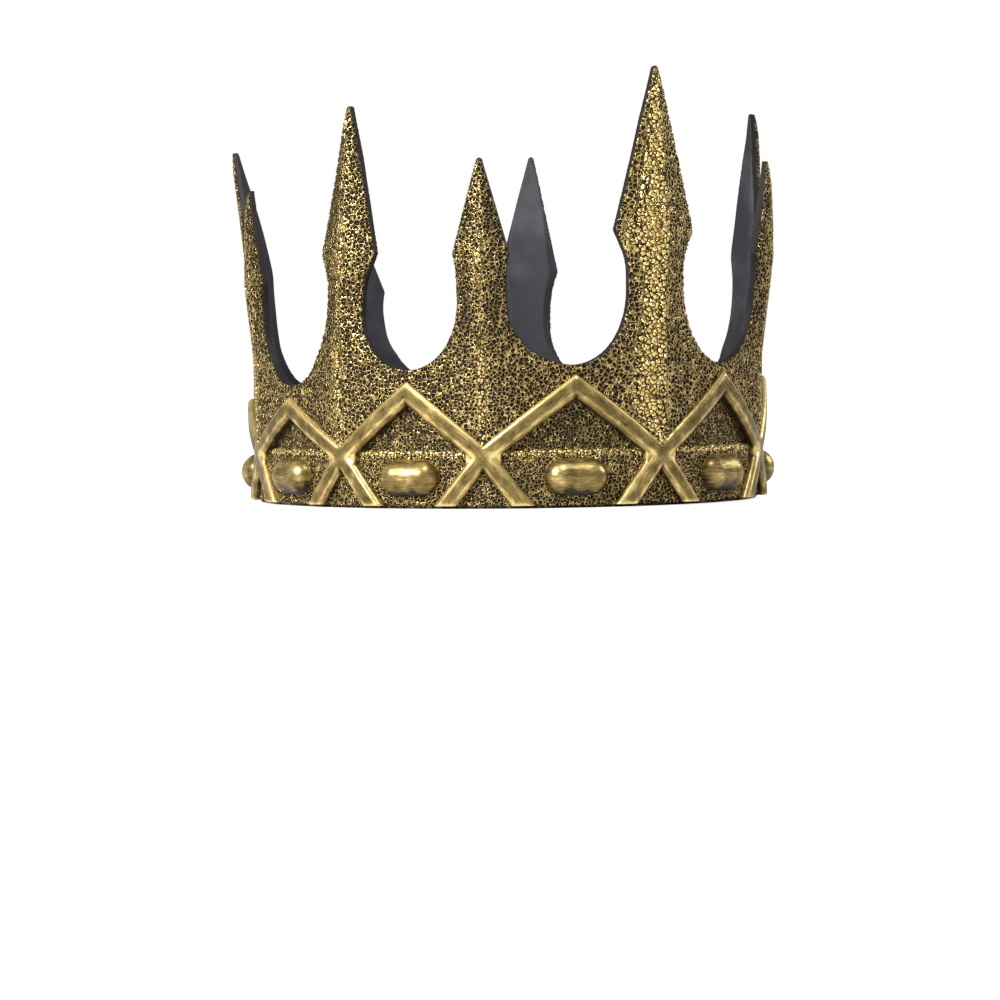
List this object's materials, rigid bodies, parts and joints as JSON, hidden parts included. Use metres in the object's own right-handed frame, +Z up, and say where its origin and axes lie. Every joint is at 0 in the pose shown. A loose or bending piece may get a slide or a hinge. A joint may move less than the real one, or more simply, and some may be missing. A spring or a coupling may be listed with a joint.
{
  "type": "costume crown",
  "caption": "Oval costume crown with tall textured spikes, a smooth diamond lattice and capsule studs round a headband.",
  "frame": {"origin": "centre of the head opening, level with the bottom rim", "axes": "+Z up towards the tips, -Y towards the tall front spike, +X towards the wearer's left"},
  "size_m": [0.1886, 0.2073, 0.1512],
  "materials": {
    "textured_gold": "pebbled foam, black base dry-brushed with antique gold",
    "smooth_gold": "smooth foam, antique gold with a dark wash",
    "inner_foam": "smooth slate grey foam inside, textured and dry-brushed outside"
  },
  "bodies": {
    "root": {"base_ring": "inner_foam", "lower_band": "textured_gold", "spike_front": "textured_gold", "spike_left_1": "textured_gold", "spike_right_1": "textured_gold", "spike_left_2": "textured_gold", "spike_right_2": "textured_gold", "spike_left_3": "textured_gold", "spike_right_3": "textured_gold", "spike_left_4": "textured_gold", "spike_right_4": "textured_gold", "spike_back": "textured_gold", "lattice_cross_front": "smooth_gold", "lattice_cross_left_1": "smooth_gold", "lattice_cross_right_1": "smooth_gold", "lattice_cross_left_2": "smooth_gold", "lattice_cross_right_2": "smooth_gold", "lattice_cross_left_3": "smooth_gold", "lattice_cross_right_3": "smooth_gold", "lattice_cross_left_4": "smooth_gold", "lattice_cross_right_4": "smooth_gold", "lattice_cross_back": "smooth_gold", "stud_left_1": "smooth_gold", "stud_right_1": "smooth_gold", "stud_left_2": "smooth_gold", "stud_right_2": "smooth_gold", "stud_left_3": "smooth_gold", "stud_right_3": "smooth_gold", "stud_left_4": "smooth_gold", "stud_right_4": "smooth_gold", "stud_left_5": "smooth_gold", "stud_right_5": "smooth_gold"}
  },
  "joints": []
}
